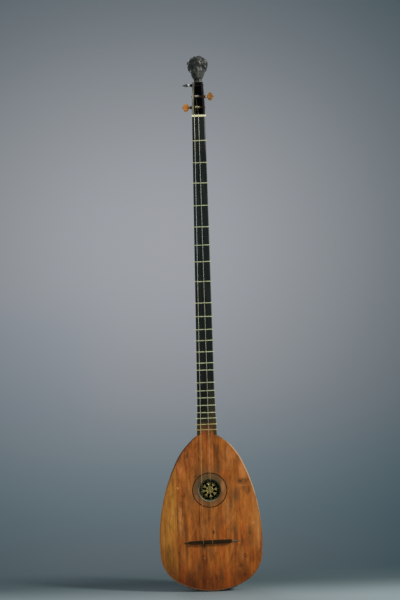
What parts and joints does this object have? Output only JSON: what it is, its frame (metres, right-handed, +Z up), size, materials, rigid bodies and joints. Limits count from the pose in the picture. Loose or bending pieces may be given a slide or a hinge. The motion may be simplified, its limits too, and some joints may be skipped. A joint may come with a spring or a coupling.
{
  "type": "colascione",
  "caption": "Long-necked lute with a pear-shaped ribbed bowl, flat soundboard with a pierced rose, low bridge, tied gut frets, side pegs in an open pegbox and a carved head.",
  "frame": {"origin": "under the middle of the bounding box, at the height of the end clasp's lowest point", "axes": "+Z up the neck to the carved head, +Y from the soundboard to the bowl, +X to the right of a viewer who faces the soundboard"},
  "size_m": [0.2954, 0.1428, 1.5419],
  "materials": {
    "board_wood": "aged, varnished softwood, orange-brown, straight grain",
    "wing_wood": "aged, varnished softwood, yellower",
    "rib_wood": "varnished hardwood staves",
    "pale_wood": "thin pale hardwood, worn varnish",
    "inner_spruce": "bare split softwood",
    "black_wood": "black-stained hardwood, satin",
    "carved_black": "carved, black-stained, glossy",
    "boxwood": "turned, oiled, orange-brown",
    "bone": "polished bone",
    "gut": "twisted gut, oiled",
    "gilt_parchment": "gilt parchment, tarnished",
    "iron": "hand-forged, dark"
  },
  "bodies": {
    "instrument": {"bar_above_rose": "inner_spruce", "bar_below_bridge": "inner_spruce", "bar_below_rose": "inner_spruce", "bridge": "black_wood", "edge_binding": "pale_wood", "end_block": "inner_spruce", "end_clasp": "black_wood", "fingerboard": "black_wood", "head_finial": "carved_black", "neck": "black_wood", "neck_block": "inner_spruce", "neck_nail": "iron", "nut": "bone", "pegbox": "black_wood", "rib_01": "rib_wood", "rib_02": "rib_wood", "rib_03": "rib_wood", "rib_04": "rib_wood", "rib_05": "rib_wood", "rib_06": "rib_wood", "rib_07": "rib_wood", "rib_08": "rib_wood", "rib_09": "rib_wood", "rib_10": "rib_wood", "rib_11": "rib_wood", "rose_border": "pale_wood", "rose_inlay_ring": "black_wood", "rose_lattice": "gilt_parchment", "soundboard": "board_wood", "soundboard_bass_wing": "wing_wood", "string_bass": "gut", "string_middle": "gut"},
    "peg_bass_turned": {"peg_bass": "boxwood", "winding_bass": "gut"},
    "peg_middle_turned": {"peg_middle": "boxwood", "winding_middle": "gut"},
    "peg_treble_turned": {"peg_treble": "black_wood"},
    "fret_01_tied": {"fret_01": "gut"},
    "fret_02_tied": {"fret_02": "gut"},
    "fret_03_tied": {"fret_03": "gut"},
    "fret_04_tied": {"fret_04": "gut"},
    "fret_05_tied": {"fret_05": "gut"},
    "fret_06_tied": {"fret_06": "gut"},
    "fret_07_tied": {"fret_07": "gut"},
    "fret_08_tied": {"fret_08": "gut"},
    "fret_09_tied": {"fret_09": "gut"},
    "fret_10_tied": {"fret_10": "gut"},
    "fret_11_tied": {"fret_11": "gut"},
    "fret_12_tied": {"fret_12": "gut"},
    "fret_13_tied": {"fret_13": "gut"},
    "fret_14_tied": {"fret_14": "gut"},
    "fret_15_tied": {"fret_15": "gut"},
    "fret_16_tied": {"fret_16": "gut"},
    "fret_17_tied": {"fret_17": "gut"},
    "fret_18_tied": {"fret_18": "gut"},
    "fret_19_tied": {"fret_19": "gut"},
    "fret_20_tied": {"fret_20": "gut"},
    "fret_21_tied": {"fret_21": "gut"},
    "fret_22_tied": {"fret_22": "gut"},
    "fret_23_tied": {"fret_23": "gut"}
  },
  "joints": [
    {"name": "peg_bass_turn", "type": "hinge", "parent": "instrument", "child": "peg_bass_turned", "pos_m": [-0.0012, -0.04637, 1.39003], "axis": [1, 0, 0], "continuous": true},
    {"name": "peg_middle_turn", "type": "hinge", "parent": "instrument", "child": "peg_middle_turned", "pos_m": [-0.0012, -0.04085, 1.42134], "axis": [1, 0, 0], "continuous": true},
    {"name": "peg_treble_turn", "type": "hinge", "parent": "instrument", "child": "peg_treble_turned", "pos_m": [-0.0012, -0.03491, 1.45502], "axis": [1, 0, 0], "continuous": true},
    {"name": "fret_01_slide", "type": "slide", "parent": "instrument", "child": "fret_01_tied", "axis": [0, 0, 1], "range_m": [-0.005, 0.005]},
    {"name": "fret_02_slide", "type": "slide", "parent": "instrument", "child": "fret_02_tied", "axis": [0, 0, 1], "range_m": [-0.005, 0.005]},
    {"name": "fret_03_slide", "type": "slide", "parent": "instrument", "child": "fret_03_tied", "axis": [0, 0, 1], "range_m": [-0.005, 0.005]},
    {"name": "fret_04_slide", "type": "slide", "parent": "instrument", "child": "fret_04_tied", "axis": [0, 0, 1], "range_m": [-0.005, 0.005]},
    {"name": "fret_05_slide", "type": "slide", "parent": "instrument", "child": "fret_05_tied", "axis": [0, 0, 1], "range_m": [-0.005, 0.005]},
    {"name": "fret_06_slide", "type": "slide", "parent": "instrument", "child": "fret_06_tied", "axis": [0, 0, 1], "range_m": [-0.005, 0.005]},
    {"name": "fret_07_slide", "type": "slide", "parent": "instrument", "child": "fret_07_tied", "axis": [0, 0, 1], "range_m": [-0.005, 0.005]},
    {"name": "fret_08_slide", "type": "slide", "parent": "instrument", "child": "fret_08_tied", "axis": [0, 0, 1], "range_m": [-0.005, 0.005]},
    {"name": "fret_09_slide", "type": "slide", "parent": "instrument", "child": "fret_09_tied", "axis": [0, 0, 1], "range_m": [-0.005, 0.005]},
    {"name": "fret_10_slide", "type": "slide", "parent": "instrument", "child": "fret_10_tied", "axis": [0, 0, 1], "range_m": [-0.005, 0.005]},
    {"name": "fret_11_slide", "type": "slide", "parent": "instrument", "child": "fret_11_tied", "axis": [0, 0, 1], "range_m": [-0.005, 0.005]},
    {"name": "fret_12_slide", "type": "slide", "parent": "instrument", "child": "fret_12_tied", "axis": [0, 0, 1], "range_m": [-0.005, 0.005]},
    {"name": "fret_13_slide", "type": "slide", "parent": "instrument", "child": "fret_13_tied", "axis": [0, 0, 1], "range_m": [-0.005, 0.005]},
    {"name": "fret_14_slide", "type": "slide", "parent": "instrument", "child": "fret_14_tied", "axis": [0, 0, 1], "range_m": [-0.005, 0.005]},
    {"name": "fret_15_slide", "type": "slide", "parent": "instrument", "child": "fret_15_tied", "axis": [0, 0, 1], "range_m": [-0.005, 0.005]},
    {"name": "fret_16_slide", "type": "slide", "parent": "instrument", "child": "fret_16_tied", "axis": [0, 0, 1], "range_m": [-0.005, 0.005]},
    {"name": "fret_17_slide", "type": "slide", "parent": "instrument", "child": "fret_17_tied", "axis": [0, 0, 1], "range_m": [-0.005, 0.005]},
    {"name": "fret_18_slide", "type": "slide", "parent": "instrument", "child": "fret_18_tied", "axis": [0, 0, 1], "range_m": [-0.005, 0.005]},
    {"name": "fret_19_slide", "type": "slide", "parent": "instrument", "child": "fret_19_tied", "axis": [0, 0, 1], "range_m": [-0.005, 0.005]},
    {"name": "fret_20_slide", "type": "slide", "parent": "instrument", "child": "fret_20_tied", "axis": [0, 0, 1], "range_m": [-0.005, 0.005]},
    {"name": "fret_21_slide", "type": "slide", "parent": "instrument", "child": "fret_21_tied", "axis": [0, 0, 1], "range_m": [-0.005, 0.005]},
    {"name": "fret_22_slide", "type": "slide", "parent": "instrument", "child": "fret_22_tied", "axis": [0, 0, 1], "range_m": [-0.005, 0.005]},
    {"name": "fret_23_slide", "type": "slide", "parent": "instrument", "child": "fret_23_tied", "axis": [0, 0, 1], "range_m": [-0.005, 0.005]}
  ]
}
